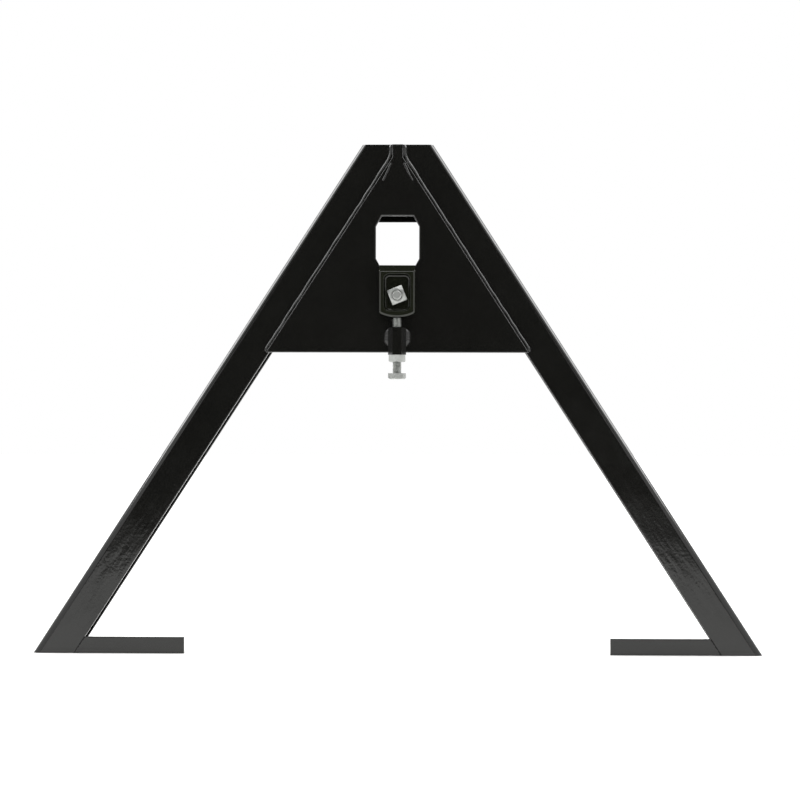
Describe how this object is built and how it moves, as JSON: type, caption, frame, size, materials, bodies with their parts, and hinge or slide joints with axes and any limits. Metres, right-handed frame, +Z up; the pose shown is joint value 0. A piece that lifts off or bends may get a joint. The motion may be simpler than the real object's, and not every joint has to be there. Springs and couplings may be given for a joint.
{
  "type": "a-frame hitch",
  "caption": "Implement-side A-frame hitch: channel legs, latch plate with opening, and an adjustable latch keeper.",
  "frame": {"origin": "centre of the box's base, on the floor under the frame", "axes": "+X to the right of the latch plate seen from the implement, +Y from the implement to the tractor, +Z up"},
  "size_m": [0.795, 0.083, 0.555],
  "materials": {
    "frame_enamel": "gloss",
    "weld_enamel": "gloss",
    "keeper_enamel": "gloss",
    "zinc_plate": "satin"
  },
  "bodies": {
    "frame": {"left_leg_channel": "frame_enamel", "right_leg_channel": "frame_enamel", "latch_plate": "frame_enamel", "apex_plate": "frame_enamel", "left_foot_bar": "frame_enamel", "right_foot_bar": "frame_enamel", "left_plate_weld": "weld_enamel", "right_plate_weld": "weld_enamel", "left_apex_weld": "weld_enamel", "right_apex_weld": "weld_enamel", "left_foot_weld": "weld_enamel", "right_foot_weld": "weld_enamel", "long_nut": "zinc_plate", "left_long_nut_weld": "weld_enamel", "right_long_nut_weld": "weld_enamel"},
    "keeper": {"keeper_block": "keeper_enamel", "clamp_carriage_bolt": "zinc_plate"},
    "adjusting_bolt": {"adjusting_bolt": "zinc_plate"},
    "lock_nut": {"adjuster_lock_nut": "zinc_plate"},
    "clamp_washer": {"clamp_lock_washer": "zinc_plate"},
    "clamp_nut": {"clamp_square_nut": "zinc_plate"}
  },
  "joints": [
    {"name": "keeper_slide", "type": "slide", "parent": "frame", "child": "keeper", "axis": [0, 0, 1], "range_m": [-0.004, 0.008]},
    {"name": "adjusting_bolt_turn", "type": "hinge", "parent": "keeper", "child": "adjusting_bolt", "pos_m": [0, -0.031, 0.336], "axis": [0, 0, 1], "range_deg": [-961, 1921]},
    {"name": "lock_nut_back_off", "type": "slide", "parent": "frame", "child": "lock_nut", "axis": [0, 0, -1], "range_m": [0, 0.0035]},
    {"name": "clamp_washer_loosen", "type": "slide", "parent": "keeper", "child": "clamp_washer", "axis": [0, -1, 0], "range_m": [0, 0.003]},
    {"name": "clamp_nut_turn", "type": "hinge", "parent": "clamp_washer", "child": "clamp_nut", "pos_m": [0, -0.036, 0.3905], "axis": [0, -1, 0], "range_deg": [-1, 721]}
  ],
  "couplings": [
    {"joint": "adjusting_bolt_turn", "follows": "keeper_slide", "rad_per_m": 4188.8},
    {"joint": "clamp_nut_turn", "follows": "clamp_washer_loosen", "rad_per_m": 4188.8}
  ]
}
